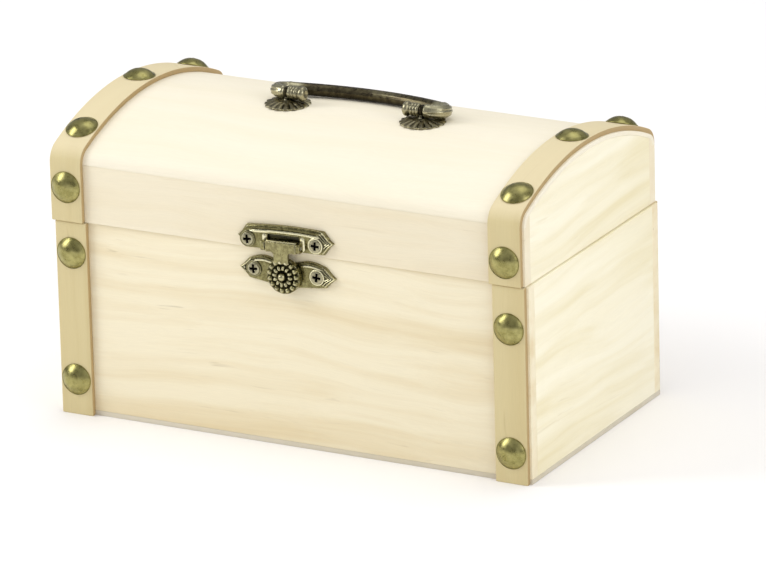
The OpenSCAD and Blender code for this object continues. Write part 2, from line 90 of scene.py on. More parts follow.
LATCH_X = -0.8
LATCH_LEAN = 1.7
PLATE_T = 1
PLATE_LEFT = 17.4
PLATE_RIGHT = 19.2
PLATE_POINT = 3.7
POINT_WAIST = (1.5, 1.2)
HASP_LEVELS = (1, 5.1, 9.2)
KEEPER_LEVELS = (-10.4, -6.9, -3.3)
HASP_BROW = 0.6
KEEPER_BROW = 1.4
KEEPER_BROW_START = 3
KEEPER_SAG = 1.3
RIM_T = 1.8
PIN_Y = LID_FRONT_Y - 2.3
PIN_Z = BODY_H + 2.9
LATCH_PIN_R = 0.6
WINDOW_HALF = 6
WINDOW_TOP = 5.3
EAR_W = 1.4
EAR_R = 1.6
BARREL_R = 1.9
HASP_HALF = 5.75
NECK_HALF = 2.7
NECK_T = 1.2
MEDALLION_R = 6.2
MEDALLION_T = 2.8
MEDALLION_Z = BODY_H - 7.5
MEDALLION_BACK_Y = -HALF_D - PLATE_T - 0.5
MEDALLION_DROP = PIN_Z - MEDALLION_Z
MEDALLION_X = LATCH_X + MEDALLION_DROP * math.sin(math.radians(LATCH_LEAN))
BELLY_R = 6
HASP_SCREW_X = (-13.6, 12.2)
HASP_SCREW_Z = BODY_H + 4
KEEPER_SCREW_X = (-12, 12)
KEEPER_SCREW_Z = BODY_H - 7
LATCH_SCREW_R = 2.2
SMALL_SHANK_R = 0.6
SCREW_DEPTH = 3

HANDLE_X = 1.2
HANDLE_Y = -1.3
POST_X = 25.8
PIVOT_H = 4.2
POST_R = 1.3
EYE_R = 2
EYE_T = 1.2
EYE_BORE = 1.25
JOURNAL_R = 1.2
SIDE_GAP = 0.15
FERRULE_L = 0.7
BAIL_REACH = 15.6
ELBOW_R = 4.6
BAIL_R = 2.2
BAIL_LIFT = 0.25
CAP_L = 6.3
CAP_END_T = 0.9
ROSETTE_R = 8
ROSETTE_H = 1.6
WASHER_R = 3.5
WASHER_T = 0.8
NUT_R = 2.7
NUT_T = 1.8

HINGE_X = 45
HINGE_Y = HALF_D + 2.3
LEAF_W = 18
LEAF_H = 12
LEAF_T = 0.8
LEAF_CLEAR = 2.3
KNUCKLE_R = 2
KNUCKLE_GAP = 0.15
HINGE_PIN_R = 0.9
LEAF_SCREW_X = 5.6
LEAF_SCREW_Z = 8
LEAF_SCREW_R = 1.6


# ---- Forms: lists of points and faces ----

def move(x=0.0, y=0.0, z=0.0):
    return Matrix.Translation((x, y, z))


def turn(degrees, axis):
    return Matrix.Rotation(math.radians(degrees), 4, axis)


FRONT = turn(90, "X")  # +Z points forward, +Y points up
BACK = turn(-90, "X")  # +Z points backward, +Y points down
ALONG_X = turn(90, "Y")  # +Z points along +X


def linked(name, data):
    """A new object in the scene."""
    made = bpy.data.objects.new(name, data)
    bpy.context.scene.collection.objects.link(made)
    return made


def form_of(bm):
    """The points and faces of a bmesh, which is freed."""
    bm.verts.index_update()
    form = [tuple(v.co) for v in bm.verts], [[v.index for v in face.verts] for face in bm.faces]
    bm.free()
    return form


def smooth(value, low, high):
    """0 below low, 1 above high, and a smooth step between them."""
    t = min(max((value - low) / (high - low), 0.0), 1.0)
    return t * t * (3 - 2 * t)


def lathe(profile, segments=48, ripple=None):
    """A profile of (radius, height) turned about Z. ripple(angle, r, z) moves a point to a new (r, z).

    A profile that starts and ends off the axis is closed into a ring."""
    points, rings, faces = [], [], []
    for r, z in profile:
        if r < 1e-6:
            rings.append([len(points)])
            points.append((0, 0, z))
            continue
        rings.append(list(range(len(points), len(points) + segments)))
        for i in range(segments):
            a = TURN * i / segments
            rr, zz = ripple(a, r, z) if ripple else (r, z)
            points.append((rr * math.cos(a), rr * math.sin(a), zz))
    pairs = list(zip(rings, rings[1:]))
    if len(rings[0]) > 1 and len(rings[-1]) > 1:
        pairs.append((rings[-1], rings[0]))
    for low, high in pairs:
        for i in range(segments):
            j = (i + 1) % segments
            if len(low) == 1:
                faces.append((low[0], high[i], high[j]))
            elif len(high) == 1:
                faces.append((low[i], high[0], low[j]))
            else:
                faces.append((low[i], low[j], high[j], high[i]))
    return points, faces


def arc(centre_r, centre_z, radius, start, end, steps=6):
    """Profile points on an arc, with angles in degrees from the outward direction towards +Z."""
    angles = [math.radians(start + (end - start) * i / steps) for i in range(steps + 1)]
    return [(centre_r + radius * math.cos(a), centre_z + radius * math.sin(a)) for a in angles]


def rod(radius, start, end, soft=0.15, segments=40):
    """A round bar along Z with softened ends."""
    profile = [(0, start)]
    profile += arc(radius - soft, start + soft, soft, -90, 0, 3)
    profile += arc(radius - soft, end - soft, soft, 0, 90, 3)
    return lathe(profile + [(0, end)], segments)


def ring(outer, inner, start, end, soft=0.15, segments=48):
    """A round bar along Z with a bore, and softened edges."""
    profile = arc(inner + soft, start + soft, soft, -180, -90, 3)
    profile += arc(outer - soft, start + soft, soft, -90, 0, 3)
    profile += arc(outer - soft, end - soft, soft, 0, 90, 3)
    profile += arc(inner + soft, end - soft, soft, 90, 180, 3)
    return lathe(profile, segments)


def plate(outline, thickness, holes=(), soft=0.15):
    """A flat plate from z = 0 up to thickness, with rounded edges all round its outline and holes."""
    curve = bpy.data.curves.new("plate", "CURVE")
    curve.dimensions = "2D"
    curve.fill_mode = "BOTH"
    curve.extrude = thickness / 2 - soft
    curve.bevel_depth = soft
    curve.bevel_resolution = 2
    curve.offset = -soft
    for loop in (outline, *holes):
        spline = curve.splines.new("POLY")
        spline.points.add(len(loop) - 1)
        for point, (x, y) in zip(spline.points, loop):
            point.co = (x, y, 0, 1)
        spline.use_cyclic_u = True
    holder = linked("plate", curve)
    made = holder.evaluated_get(bpy.context.evaluated_depsgraph_get())
    mesh = bpy.data.meshes.new_from_object(made)
    points = [(v.co.x, v.co.y, v.co.z + thickness / 2) for v in mesh.vertices]
    faces = [list(face.vertices) for face in mesh.polygons]
    bpy.data.objects.remove(holder)
    bpy.data.curves.remove(curve)
    bpy.data.meshes.remove(mesh)
    return points, faces


def circle(radius, x=0.0, y=0.0, count=24):
    return [
        (x + radius * math.cos(TURN * i / count), y + radius * math.sin(TURN * i / count))
        for i in range(count)
    ]


def rounded_box(x0, x1, y0, y1, corner=0.5, steps=4):
    """A rectangle's outline with round corners."""
    points = []
    corners = [(x1, y1, 0), (x0, y1, 90), (x0, y0, 180), (x1, y0, 270)]
    for x, y, start in corners:
        cx = x - math.copysign(corner, x - (x0 + x1) / 2)
        cy = y - math.copysign(corner, y - (y0 + y1) / 2)
        for i in range(steps + 1):
            a = math.radians(start + 90 * i / steps)
            points.append((cx + corner * math.cos(a), cy + corner * math.sin(a)))
    return points


def ridge(path, width, height, steps=6):
    """A half-round bead along a path of (x, y) points on z = 0, narrower at its two closed ends."""
    points, faces = [], []
    count, row = len(path), steps + 1
    for i, (x, y) in enumerate(path):
        ax, ay = path[max(i - 1, 0)]
        bx, by = path[min(i + 1, count - 1)]
        length = math.hypot(bx - ax, by - ay)
        nx, ny = (ay - by) / length, (bx - ax) / length
        swell = 0.35 if i in (0, count - 1) else 1.0
        for k in range(row):
            a = math.pi * k / steps
            side = math.cos(a) * width / 2 * swell
            points.append((x + nx * side, y + ny * side, math.sin(a) * height * swell))
    for i in range(count - 1):
        low, high = i * row, (i + 1) * row
        faces += [(low + k, low + k + 1, high + k + 1, high + k) for k in range(steps)]
        faces.append((low, high, high + steps, low + steps))
    faces.append(tuple(range(steps, -1, -1)))
    faces.append(tuple(range((count - 1) * row, count * row)))
    return points, faces


class Shape:
    """Forms gathered into one mesh."""

    def __init__(self):
        self.points = []
        self.wear = []
        self.faces = []

    def add(self, form, *places, wear=0.0):
        """Adds the form once at each place, or once where it is.

        The value for worn metal and painted light is a number, or a function of a point that gives one: -1
        where metal stays black, to 1 where it is bright. It stands for rubbing and patina, and in places for
        painted shade and painted highlights."""
        points, faces = form
        for place in places or (Matrix(),):
            start = len(self.points)
            self.wear += [wear(point) if callable(wear) else wear for point in points]
            self.points += [place @ Vector(point) for point in points]
            self.faces += [[start + i for i in face] for face in faces]
        return self

    def piece(self, name, material, body, *nodes, sharp=50):
        """Makes the object, which rides on the body and stands for the CAD nodes."""
        bm = bmesh.new()
        layer = bm.verts.layers.float.new("wear")
        corners = [bm.verts.new(point * MM) for point in self.points]
        for corner, wear in zip(corners, self.wear):
            corner[layer] = wear
        for face in self.faces:
            bm.faces.new([corners[i] for i in face])
        bmesh.ops.remove_doubles(bm, verts=bm.verts, dist=1e-7)
        bmesh.ops.recalc_face_normals(bm, faces=bm.faces)
        mesh = bpy.data.meshes.new(name)
        bm.to_mesh(mesh)
        bm.free()
        mesh.shade_smooth()
        mesh.set_sharp_from_angle(angle=math.radians(sharp))
        mesh.materials.append(material)
        piece = linked(name, mesh)
        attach(piece, body)
        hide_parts(*nodes)
        return piece


# ---- Materials ----

def srgb(red, green, blue):
    """A colour given as 0 to 255, as the linear values that shaders take."""
    values = [c / 255 for c in (red, green, blue)]
    return [c / 12.92 if c <= 0.04045 else ((c + 0.055) / 1.055) ** 2.4 for c in values] + [1.0]


class Nodes:
    """Short calls that add nodes to a tree."""

    def __init__(self, owner):
        owner.use_nodes = True
        self.tree = owner.node_tree

    def node(self, kind, **settings):
        made = self.tree.nodes.new(kind)
        for key, value in settings.items():
            setattr(made, key, value)
        return made

    def feed(self, node, values):
        """Links outputs into the node's inputs, or sets plain values on them."""
        for key, value in values.items():
            if isinstance(value, bpy.types.NodeSocket):
                self.tree.links.new(value, node.inputs[key])
            else:
                node.inputs[key].default_value = value
        return node


class Finish(Nodes):
    """A material and the patterns it is made of."""

    def __init__(self, name):
        self.material = bpy.data.materials.new(name)
        super().__init__(self.material)
        self.shader = self.tree.nodes["Principled BSDF"]
        self.coords = self.node("ShaderNodeTexCoord").outputs

    def sized(self, x, y, z, shift=(0, 0, 0), warp=None):
        """Object coordinates in which one unit is x, y and z millimetres."""
        scale = (1 / (x * MM), 1 / (y * MM), 1 / (z * MM))
        vector = warp or self.coords["Object"]
        mapping = self.node("ShaderNodeMapping")
        self.feed(mapping, {"Vector": vector, "Scale": scale, "Location": shift})
        return mapping.outputs["Vector"]

    def noise(self, vector, detail=2.0, rough=0.5, output="Fac"):
        texture = self.node("ShaderNodeTexNoise")
        self.feed(texture, {"Vector": vector, "Scale": 1, "Detail": detail, "Roughness": rough})
        return texture.outputs[output]

    def span(self, value, low, high, to_low=0.0, to_high=1.0):
        """value from low..high to to_low..to_high, held inside it."""
        ranged = self.node("ShaderNodeMapRange", clamp=True)
        self.feed(ranged, {"Value": value, "From Min": low, "From Max": high})
        return self.feed(ranged, {"To Min": to_low, "To Max": to_high}).outputs["Result"]

    def sum(self, operation, a, b):
        return self.feed(self.node("ShaderNodeMath", operation=operation), {0: a, 1: b}).outputs["Value"]

    def mix(self, factor, a, b, blend="MIX"):
        made = self.node("ShaderNodeMix", data_type="RGBA", blend_type=blend)
        return self.feed(made, {"Factor": factor, 6: a, 7: b}).outputs[2]

    def bump(self, height, distance, normal=None):
        """distance is in millimetres."""
        made = self.node("ShaderNodeBump")
        self.feed(made, {"Strength": 1, "Distance": distance * MM, "Height": height})
        if normal:
            self.feed(made, {"Normal": normal})
        return made.outputs["Normal"]


def wood(name, pale, dark, streak, grain, shift, bands=0.6, streaks=0.35, edge=None, top=None):
    """Bare sanded wood in three colours of 0 to 255. grain turns (across, along) into x, y and z.

    edge is the colour of faces that look sideways: the plywood's edge, darker also as painted shade; top is
    a lighter colour of faces that look up, a painted highlight where the light falls from above."""
    finish = Finish(name)
    pale, dark, streak = srgb(*pale), srgb(*dark), srgb(*streak)
    reach = 16 * MM  # how far the fibres wander
    wander = finish.noise(finish.sized(*grain(38, 90), shift), output="Color")
    offset = finish.node("ShaderNodeVectorMath", operation="MULTIPLY_ADD")
    finish.feed(offset, {0: wander, 1: (reach, reach, reach), 2: finish.coords["Object"]})
    wavy = offset.outputs["Vector"]

    broad = finish.noise(finish.sized(*grain(11, 210), shift, wavy), detail=2)
    rings = finish.noise(finish.sized(*grain(3.2, 150), shift, wavy), detail=2, rough=0.6)
    fibre = finish.noise(finish.sized(*grain(0.32, 9), shift, wavy), detail=3, rough=0.7)
    thin = finish.noise(finish.sized(*grain(1.5, 46), shift, wavy), detail=2)
    patches = finish.noise(finish.sized(*grain(24, 60), shift), detail=1)

    figure = finish.sum("ADD", finish.span(broad, 0.42, 0.66, 0, 0.65),
                        finish.span(rings, 0.45, 0.75, 0, 0.35))
    colour = finish.mix(finish.sum("MULTIPLY", figure, bands), pale, dark)
    lines = finish.sum("MULTIPLY", finish.span(thin, 0.66, 0.76),
                       finish.span(patches, 0.45, 0.62, 0, streaks))
    colour = finish.mix(lines, colour, streak)
    tone = finish.span(fibre, 0.3, 0.7, 0.955, 1.0)
    grey = finish.node("ShaderNodeCombineColor")
    finish.feed(grey, {"Red": tone, "Green": tone, "Blue": tone})
    colour = finish.mix(1.0, colour, grey.outputs["Color"], "MULTIPLY")
    if edge:
        sides = finish.node("ShaderNodeSeparateXYZ")
        finish.feed(sides, {"Vector": finish.coords["Normal"]})
        # Faces that look up are made lighter: painted light from above.
        colour = finish.mix(finish.span(sides.outputs["Z"], 0.3, 0.9, 0, 0.5), colour, srgb(*top))
        # Faces that look sideways get the edge colour: the plywood's edge, darkened partly as painted shade.
        facing = finish.sum("ABSOLUTE", sides.outputs["X"], 0)
        colour = finish.mix(finish.span(facing, 0.6, 0.9, 0, 0.8), colour, srgb(*edge))

    finish.feed(finish.shader, {
        "Base Color": colour,
        "Roughness": finish.span(fibre, 0.3, 0.7, 0.52, 0.66),
        "Normal": finish.bump(fibre, 0.03, finish.bump(rings, 0.05)),
        "Specular IOR Level": 0.28,
    })
    return finish.material


def metal(name, hollow, worn, bright, size, rough, pits=0.02, hollow_at=1.0, edge_at=0.0):
    """Antique plating: dark in the hollows, blotched, and bright where it is rubbed.

    size is that of the blotches; hollow_at and edge_at are how far hollows and edges reach, in mm.
    The mesh's value for worn metal and painted light makes it darker below 0 and brighter above: patina and
    rubbing, and in places painted shade and painted highlights."""
    finish = Finish(name)
    hollow, worn, bright = srgb(*hollow), srgb(*worn), srgb(*bright)
    blotch = finish.noise(finish.sized(size, size, size), detail=5, rough=0.65)
    specks = finish.noise(finish.sized(0.5, 0.5, 0.5), detail=3, rough=0.7)
    shade = finish.node("ShaderNodeAmbientOcclusion", samples=8, only_local=True)
    finish.feed(shade, {"Distance": hollow_at * MM})
    open_part = finish.span(shade.outputs["AO"], 0.3, 0.9)
    colour = finish.mix(finish.span(blotch, 0.4, 0.66), worn, bright)
    wear = finish.node("ShaderNodeAttribute", attribute_name="wear").outputs["Fac"]
    # Above 0 the colour goes to the bright one: rubbed metal, and in places a painted highlight.
    colour = finish.mix(finish.span(wear, 0, 1), colour, WEAR_AND_HIGHLIGHT)
    colour = finish.mix(open_part, hollow, colour)
    colour = finish.mix(finish.span(specks, 0.6, 0.72, 0, 0.35), colour, hollow)
    if edge_at:
        edges = finish.node("ShaderNodeAmbientOcclusion", samples=8, only_local=True, inside=True)
        finish.feed(edges, {"Distance": edge_at * MM})
        rubbed = finish.sum("MULTIPLY", finish.span(edges.outputs["AO"], 0.45, 0.85, 1, 0), open_part)
        colour = finish.mix(rubbed, colour, WEAR_AND_HIGHLIGHT)
    # Below 0 it goes to the dark colour of the hollows: patina, and in places painted shade.
    colour = finish.mix(finish.span(wear, -1, 0, 1, 0), colour, hollow)
    roughness = finish.sum("ADD", finish.span(blotch, 0.35, 0.7, rough - 0.06, rough + 0.1),
                           finish.span(open_part, 0, 1, 0.2, 0))
    normal = finish.bump(blotch, pits, finish.bump(specks, pits / 3))
    finish.feed(finish.shader, {"Base Color": colour, "Roughness": roughness})
    finish.feed(finish.shader, {"Normal": normal, "Metallic": 1})
    return finish.material


def grain_x(across, along):
    return along, across, across


def grain_y(across, along):
    return across, along, across


def grain_strap(across, along):
    return across, along, along


PANEL = wood("panel_pine", (246, 236, 207), (225, 204, 157), (170, 152, 110),
             grain_x, (3, 1, 7.3), 0.75, 0.45)
LID_PANEL = wood("rail_pine", (243, 233, 207), (232, 215, 176), (190, 170, 126),
                 grain_x, (8, 5, 2), 0.5, 0.2)
# The end wood is paler than the panels' partly as painted light, where the side light falls on the end
# faces.
ENDS = wood("end_pine", (254, 248, 224), (234, 221, 174), (200, 184, 134),
            grain_y, (1, 4, 9), 0.75, 0.3)
DOME = wood("dome_ply", (247, 239, 218), (240, 230, 200), (225, 212, 176),
            grain_x, (6, 2, 5), 0.4, 0.1)
# The straps' sideways faces are darker, partly as painted shade, and their upward faces paler, as painted
# light.
STRAPS = wood("strap_ply", (217, 202, 155), (204, 184, 132), (168, 144, 92),
              grain_strap, (2, 7, 3), 0.7, 0.4, edge=(172, 143, 98), top=(236, 222, 188))
BASE = wood("base_ply", (218, 210, 192), (204, 192, 162), (180, 162, 122),
            grain_x, (4, 9, 1), 0.5, 0.2)

# Bright colour for rubbed edges and worn spots, and also for painted highlights.
WEAR_AND_HIGHLIGHT = srgb(238, 232, 194)
BRASS = metal("nail_brass", (58, 52, 24), (146, 140, 86), (180, 173, 114), 2.6, 0.3, 0.03)
BRONZE = metal("latch_bronze", (14, 12, 6), (118, 111, 72), (164, 158, 110),
               1.5, 0.26, 0.03, 1.1, 0.4)
DARK_BRONZE = metal("handle_bronze", (20, 17, 12), (78, 70, 54), (118, 110, 82),
                    1.8, 0.3, 0.03, 1.0, 0.3)
SCREW = metal("screw_bronze", (10, 9, 7), (96, 90, 70), (146, 140, 112),
              1.2, 0.28, 0.02, 0.9, 0.25)
STEEL = metal("zinc_steel", (90, 90, 88), (150, 150, 148), (186, 186, 182), 2.2, 0.32, 0.01)


# ---- Boards ----

def board(x0, x1, y0, y1, z0, z1, soft=0.15):
    """A board with rounded edges."""
    bm = bmesh.new()
    bmesh.ops.create_cube(bm, size=1)
    for corner in bm.verts:
        corner.co.x = x1 if corner.co.x > 0 else x0
        corner.co.y = y1 if corner.co.y > 0 else y0
        corner.co.z = z1 if corner.co.z > 0 else z0
    bmesh.ops.bevel(bm, geom=bm.edges[:], offset=soft, segments=3, profile=0.5, affect="EDGES")
    return form_of(bm)


def sliced(form, axis, stops):
    """The form cut through at each stop along an axis, so that it can bend there."""
    bm = bmesh.new()
    corners = [bm.verts.new(point) for point in form[0]]
    for face in form[1]:
        bm.faces.new([corners[i] for i in face])
    bmesh.ops.remove_doubles(bm, verts=bm.verts, dist=1e-4)
    for stop in stops:
        everything = bm.verts[:] + bm.edges[:] + bm.faces[:]
        bmesh.ops.bisect_plane(bm, geom=everything, dist=1e-5, plane_co=axis * stop, plane_no=axis)
    return form_of(bm)


# Lengths along the lid's outer surface, from the crown's middle line to the front and to the back.
CROWN_ANGLE = math.atan2(SHOULDER_Y, SHOULDER_Z - CROWN_CZ)
CROWN_ARC = CROWN_R * CROWN_ANGLE
SHOULDER_ARC = SHOULDER_R * (math.pi / 2 - CROWN_ANGLE)
SHEET_ARC = CROWN_ARC + SHOULDER_ARC


def over_lid(along, out, upright=0.0):
    """(y, z) at a length along the lid's surface and a distance out of it.

    With upright 1 the distance is measured straight up instead of square to the crown."""
    side = math.copysign(1, along)
    length = abs(along)
    if length <= CROWN_ARC:
        angle = length / CROWN_R
        plumb = math.asin(min(CROWN_R * math.sin(angle) / (CROWN_R + out), 1))
        angle += (plumb - angle) * upright
        y, z = (CROWN_R + out) * math.sin(angle), CROWN_CZ + (CROWN_R + out) * math.cos(angle)
    elif length <= SHEET_ARC:
        angle = CROWN_ANGLE + (length - CROWN_ARC) / SHOULDER_R
        y = SHOULDER_Y + (SHOULDER_R + out) * math.sin(angle)
        z = SHOULDER_Z + (SHOULDER_R + out) * math.cos(angle)
    else:
        y, z = LID_HALF_D + out, SHOULDER_Z - (length - SHEET_ARC)
    return LID_Y + side * y, z


BEND_STOPS = [CROWN_ARC * i / 24 for i in range(-24, 25)]
BEND_STOPS += [side * (CROWN_ARC + SHOULDER_ARC * i / 10) for side in (-1, 1) for i in range(1, 11)]


def bent(form, base=0.0, upright=lambda x, along: 0.0):
    """A form drawn flat, with x across, y along the lid's surface and z outward, laid over the lid."""
    points, faces = sliced(form, Vector((0, 1, 0)), BEND_STOPS)
    return [(x, *over_lid(y, base + z, upright(x, y))) for x, y, z in points], faces


def core_top(y):
    """Height of the lid's core, which lies under the sheet, at a depth y."""
    out = abs(y - LID_Y)
    crown = CROWN_R - SHEET_T
    if out < crown * math.sin(CROWN_ANGLE):
        return CROWN_CZ + math.sqrt(crown ** 2 - out ** 2)
    return SHOULDER_Z + math.sqrt(max((SHOULDER_R - SHEET_T) ** 2 - (out - SHOULDER_Y) ** 2, 0.0))


def core_outline(y0, y1, steps):
    """The part of the lid's core between two depths, seen along x."""
    depths = [y0 + (y1 - y0) * i / steps for i in range(steps + 1)]
    return [(y0, LID_Z), *((y, core_top(y)) for y in depths), (y1, LID_Z)]


def across(outline, x0, x1, soft=0.15):
    """An outline in y and z drawn out along x, with softened ends."""
    points, faces = plate(outline, x1 - x0, soft=soft)
    return [(x0 + z, x, y) for x, y, z in points], faces


def boards():
    inside = HALF_D - PANEL_T
    lid_inside = LID_FRONT_Y + PANEL_T
    left, right = LID_X - HALF_W, LID_X + HALF_W
    front_rail = core_outline(LID_FRONT_Y, lid_inside, 16)
    back_rail = core_outline(inside, HALF_D, 16)
    end = core_outline(lid_inside, inside, 64)
    made = {
        "base_plate": (BASE, "body", board(-HALF_W, HALF_W, -HALF_D, HALF_D, 0, BASE_T, 0.2)),
        "front_panel": (PANEL, "body", board(-HALF_W, HALF_W, -HALF_D, -inside, BASE_T, BODY_H)),
        "back_panel": (PANEL, "body", board(-HALF_W, HALF_W, inside, HALF_D, BASE_T, BODY_H)),
        "left_end_panel": (ENDS, "body", board(-HALF_W, END_T - HALF_W, -inside, inside, BASE_T, BODY_H)),
        "right_end_panel": (ENDS, "body", board(HALF_W - END_T, HALF_W, -inside, inside, BASE_T, BODY_H)),
        "lid_front_rail": (LID_PANEL, "lid", across(front_rail, left, right)),
        "lid_back_rail": (LID_PANEL, "lid", across(back_rail, left, right)),
        "lid_left_end": (ENDS, "lid", across(end, left, left + END_T)),
        "lid_right_end": (ENDS, "lid", across(end, right - END_T, right)),
    }
    for name, (material, body, form) in made.items():
        Shape().add(form).piece(name, material, body, name, sharp=35)


def dome():
    """The bent sheet with its coin slot, whose walls are upright."""
    slot = CROWN_R * math.asin(SLOT_Y / CROWN_R)
    half = SLOT_W / 2 / math.cos(SLOT_Y / CROWN_R)
    outline = [(LID_X - HALF_W, -SHEET_ARC), (LID_X + HALF_W, -SHEET_ARC),
               (LID_X + HALF_W, SHEET_ARC), (LID_X - HALF_W, SHEET_ARC)]
    hole = rounded_box(LID_X - SLOT_L / 2, LID_X + SLOT_L / 2, slot - half, slot + half, 0.4)
    flat = plate(outline, SHEET_T, [hole], soft=0.2)

    def upright(x, along):
        return (1 - smooth(abs(along - slot), 5, 14)) * (1 - smooth(abs(x - LID_X), 22, 40))

    Shape().add(bent(flat, -SHEET_T, upright)).piece("dome_sheet", DOME, "lid", "dome_sheet", sharp=35)


def straps():
    half = STRAP_W / 2
    for side, word in SIDES:
        flat = plate(rounded_box(-half, half, 0, BODY_H, 0.35), STRAP_T, soft=0.3)
        for front, facing, y in (("front", FRONT, -HALF_D), ("back", BACK @ turn(180, "Z"), HALF_D)):
            Shape().add(flat, move(side * STRAP_X, y) @ facing).piece(
                f"{front}_{word}_strap", STRAPS, "body", f"{front}_{word}_strap", sharp=35)
        reach = SHEET_ARC + SHOULDER_Z - LID_Z
        x = LID_X + side * STRAP_X
        flat = plate(rounded_box(x - half, x + half, -reach, reach, 0.35), STRAP_T, soft=0.3)
        Shape().add(bent(flat)).piece(f"lid_{word}_strap", STRAPS, "lid", f"lid_{word}_strap", sharp=35)


boards()
dome()
straps()


# ---- Nails ----

def nail(seed):
    """A domed upholstery nail with a rolled rim, slightly dented."""
    ball = (NAIL_R ** 2 + NAIL_H ** 2) / (2 * NAIL_H)
    roll = 0.2
    profile = [(0, NAIL_H)]
    steps = 18
    for i in range(1, steps + 1):
        r = (NAIL_R - 0.22) * i / steps
        profile.append((r, NAIL_H - ball + math.sqrt(ball ** 2 - r ** 2)))
    profile += arc(NAIL_R - roll, roll, roll, 40, -90, 4)
    profile += [(NAIL_R - 0.7, 0.0), (SHANK_R, 0.0), (SHANK_R, 1.2 - NAIL_L), (0, -NAIL_L)]

    def dent(angle, r, z):
        if z <= roll:
            return r, z
        place = Vector((r * math.cos(angle), r * math.sin(angle), seed * 7.3))
        return r, z + 0.05 * noise.noise(place * 0.5) - 0.06

    return lathe(profile, 56, dent)


def nails(name, places, body):
    shape = Shape()
    for seed, place in enumerate(places):
        shape.add(nail(seed), place)
    return shape.piece(name, BRASS, body, name)


def body_nail_places(y, facing):
    return [
        move(side * STRAP_X, y, z) @ facing
        for side in (-1, 1)
        for z in BODY_NAIL_Z[side]
    ]


def lid_nail_places(side):
    x = LID_X + side * STRAP_X
    places = [
        move(x, LID_FRONT_Y - STRAP_T, LID_NAIL_Z[side]) @ FRONT,
        move(x, HALF_D + STRAP_T, LID_NAIL_Z[side]) @ BACK,
    ]
    for angle in DOME_NAIL_ANGLES[side]:
        places.append(move(x, LID_Y, CROWN_CZ) @ turn(-angle, "X") @ move(z=CROWN_R + STRAP_T))
    return places


nails("body_front_nails", body_nail_places(-HALF_D - STRAP_T, FRONT), "body")
nails("body_back_nails", body_nail_places(HALF_D + STRAP_T, BACK), "body")
nails("lid_left_nails", lid_nail_places(-1), "lid")
nails("lid_right_nails", lid_nail_places(1), "lid")


# ---- Screws ----

def cross(arm, half):
    """The outline of a cross with arms that reach out from the middle and are 2 * half wide."""
    points = []
    for quarter in range(4):
        a = math.pi / 2 * quarter
        for x, y in ((arm, -half), (arm, half), (half, half)):
            points.append((x * math.cos(a) - y * math.sin(a), x * math.sin(a) + y * math.cos(a)))
    return points


def screw_head(head_r, head_h=0.8):
    """A pan head that stands on z = 0, with a cross recess down to its foot."""
    points, faces = plate(circle(head_r, count=48), head_h, [cross(0.7 * head_r, 0.2 * head_r)])
    fall = 0.3
    return [(x, y, z * (1 - fall * (x * x + y * y) / head_r ** 2)) for x, y, z in points], faces


def screw_shank(head_r, length):
    """The shank, with a disc on top that closes the recess."""
    floor = 0.1
    reach = 0.85 * head_r
    profile = [(0, floor), (reach, floor), (reach, 0.02), (SMALL_SHANK_R, 0.02)]
    return lathe(profile + [(SMALL_SHANK_R, 0.8 - length), (0, -length)], 32)


def screw_wear(point):
    """Brighter towards the head's rim."""
    x, y, _ = point
    return 0.4 * smooth(math.hypot(x, y), 1.3, 2)


def screws(name, places, body, head_r, length):
    shape = Shape()
    for i, place in enumerate(places):
        place = place @ turn(4 - 9 * i, "Z")
        shape.add(screw_head(head_r), place, wear=screw_wear)
        shape.add(screw_shank(head_r, length), place, wear=-1.0)
    return shape.piece(name, SCREW, body, name, sharp=40)


LEAN = move(LATCH_X, 0, PIN_Z) @ turn(-LATCH_LEAN, "Y") @ move(-LATCH_X, 0, -PIN_Z)
HASP_SCREWS = [LEAN @ move(LATCH_X + x, LID_FRONT_Y - PLATE_T, HASP_SCREW_Z) @ FRONT for x in HASP_SCREW_X]
KEEPER_SCREWS = [move(LATCH_X + x, -HALF_D - PLATE_T, KEEPER_SCREW_Z) @ FRONT for x in KEEPER_SCREW_X]
screws("hasp_plate_screws", HASP_SCREWS, "lid", LATCH_SCREW_R, PLATE_T + SCREW_DEPTH)
screws("keeper_screws", KEEPER_SCREWS, "body", LATCH_SCREW_R, PLATE_T + SCREW_DEPTH)
for body, up in (("body", -1), ("lid", 1)):
    places = [
        move(hinge * HINGE_X + side * LEAF_SCREW_X, HALF_D + LEAF_T, BODY_H + up * LEAF_SCREW_Z) @ BACK
        for hinge in (-1, 1)
        for side in (-1, 1)
    ]
    screws(f"{body}_hinge_screws", places, body, LEAF_SCREW_R, LEAF_T + SCREW_DEPTH)


# ---- Latch ----

RIM_X = (-PLATE_LEFT + PLATE_POINT, PLATE_RIGHT - PLATE_POINT)


def plate_end(side, levels, inset=0.0, scale=1.0):
    """A pointed end from its low corner to its high one; inset moves it inward, scale flattens it."""
    tip = levels[1]
    x = (PLATE_RIGHT if side > 0 else PLATE_LEFT) - inset
    low, high = ((level - tip) * scale for level in (levels[0], levels[2]))
    waist_x, waist_z = POINT_WAIST
    return [
        (side * (x - PLATE_POINT), tip + low),
        (side * (x - waist_x * 1.5), tip + low * 0.55),
        (side * (x - waist_x), tip - waist_z * scale),
        (side * x, tip),
        (side * (x - waist_x), tip + waist_z * scale),
        (side * (x - waist_x * 1.5), tip + high * 0.55),
        (side * (x - PLATE_POINT), tip + high),
    ]


def brow(x0, x1, z, rise, steps=14):
    """A low arch between two places, with its ends."""
    return [(x0 + (x1 - x0) * i / steps, z + rise * math.sin(math.pi * i / steps)) for i in range(steps + 1)]


SEAT_R = LATCH_SCREW_R + 0.65
SEAT_CLEAR = SEAT_R + 0.2


